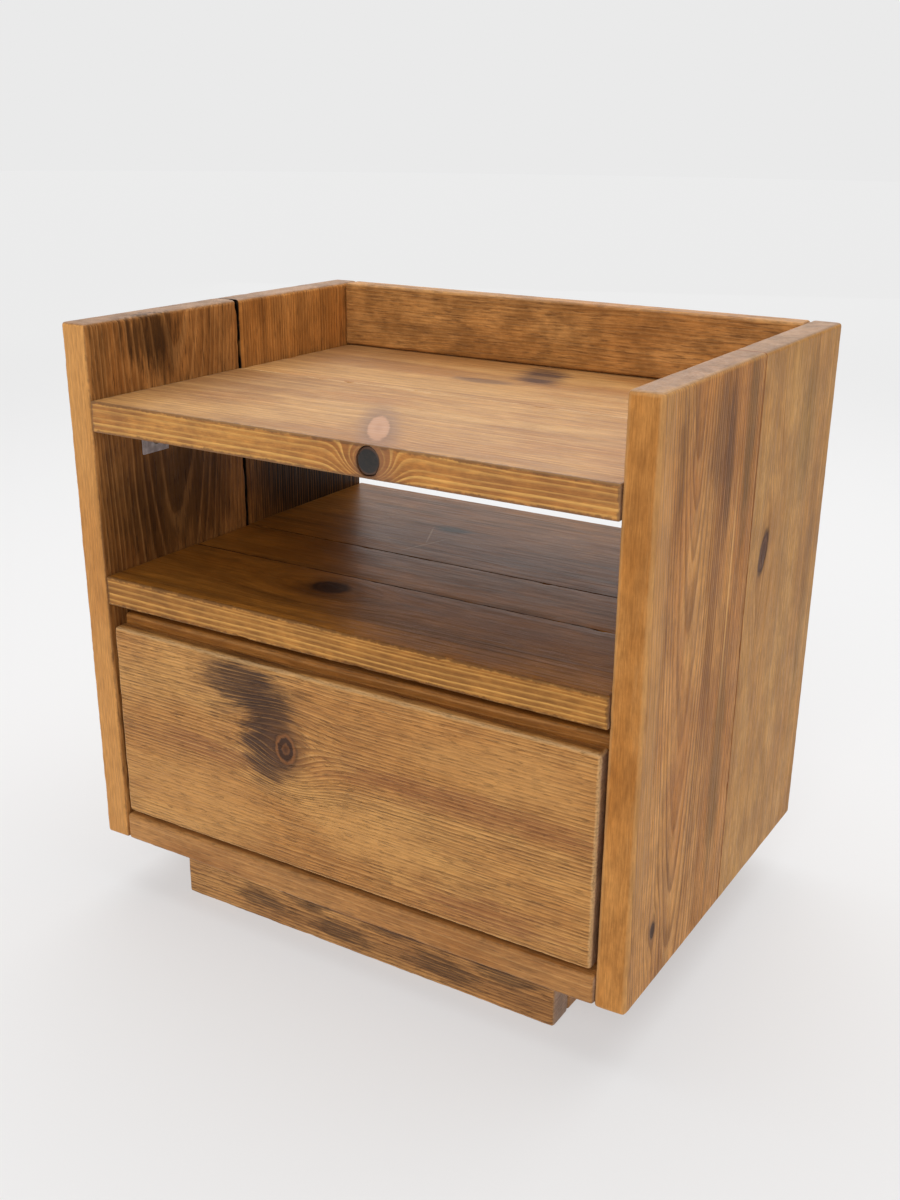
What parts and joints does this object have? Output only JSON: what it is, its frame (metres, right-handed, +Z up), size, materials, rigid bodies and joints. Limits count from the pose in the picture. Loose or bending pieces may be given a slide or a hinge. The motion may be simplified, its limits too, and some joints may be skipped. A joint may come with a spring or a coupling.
{
  "type": "nightstand",
  "caption": "Low rustic pine nightstand with a tray top recessed between tall sides, an open cubby, an inset handleless drawer and a set-back plinth.",
  "frame": {"origin": "on the floor, under the middle of the cabinet's outline in plan", "axes": "+X to the right as one faces the drawer, +Y to the back so that the drawer faces -Y, +Z up"},
  "size_m": [0.45, 0.322, 0.446],
  "materials": {
    "waxed_pine": "stained pine with worn arrises under a satin wax, grain along each board",
    "drawer_pine": "stained pine with fine brushed grain and a dark knot, satin wax",
    "raw_pine": "unstained planed pine, matte",
    "birch_ply": "sanded plywood, matte",
    "beech": "plain turned dowel, matte",
    "zinc": "dull zinc plating",
    "screw_steel": "bright plated steel"
  },
  "bodies": {
    "cabinet": {"left_side_front_board": "waxed_pine", "left_side_rear_board": "waxed_pine", "right_side_front_board": "waxed_pine", "right_side_rear_board": "waxed_pine", "top_front_board": "waxed_pine", "top_rear_board": "waxed_pine", "shelf_front_board": "waxed_pine", "shelf_middle_board": "waxed_pine", "shelf_rear_board": "waxed_pine", "bottom_front_board": "waxed_pine", "bottom_rear_board": "waxed_pine", "back_rail": "waxed_pine", "lower_back_board": "waxed_pine", "plinth_front": "waxed_pine", "plinth_back": "waxed_pine", "plinth_left": "waxed_pine", "plinth_right": "waxed_pine", "plinth_block_left_front": "raw_pine", "plinth_block_left_rear": "raw_pine", "plinth_block_right_front": "raw_pine", "plinth_block_right_rear": "raw_pine", "kicker_left": "raw_pine", "kicker_right": "raw_pine", "dowel_top_left_front": "beech", "dowel_top_left_rear": "beech", "dowel_top_right_front": "beech", "dowel_top_right_rear": "beech", "dowel_shelf_left_front": "beech", "dowel_shelf_left_rear": "beech", "dowel_shelf_right_front": "beech", "dowel_shelf_right_rear": "beech", "dowel_bottom_left_front": "beech", "dowel_bottom_left_rear": "beech", "dowel_bottom_right_front": "beech", "dowel_bottom_right_rear": "beech", "dowel_rail_left": "beech", "dowel_rail_right": "beech", "bracket_left_front": "zinc", "bracket_left_rear": "zinc", "bracket_right_front": "zinc", "bracket_right_rear": "zinc", "screw_left_front_side": "screw_steel", "screw_left_front_top": "screw_steel", "screw_left_rear_side": "screw_steel", "screw_left_rear_top": "screw_steel", "screw_right_front_side": "screw_steel", "screw_right_front_top": "screw_steel", "screw_right_rear_side": "screw_steel", "screw_right_rear_top": "screw_steel"},
    "drawer": {"drawer_front": "drawer_pine", "drawer_box_front": "waxed_pine", "drawer_box_left": "raw_pine", "drawer_box_right": "raw_pine", "drawer_box_back": "raw_pine", "drawer_bottom_panel": "birch_ply", "screw_front_left_low": "screw_steel", "screw_front_left_high": "screw_steel", "screw_front_right_low": "screw_steel", "screw_front_right_high": "screw_steel"}
  },
  "joints": [
    {"name": "drawer_slide", "type": "slide", "parent": "cabinet", "child": "drawer", "axis": [0, -1, 0], "range_m": [0, 0.2]}
  ]
}
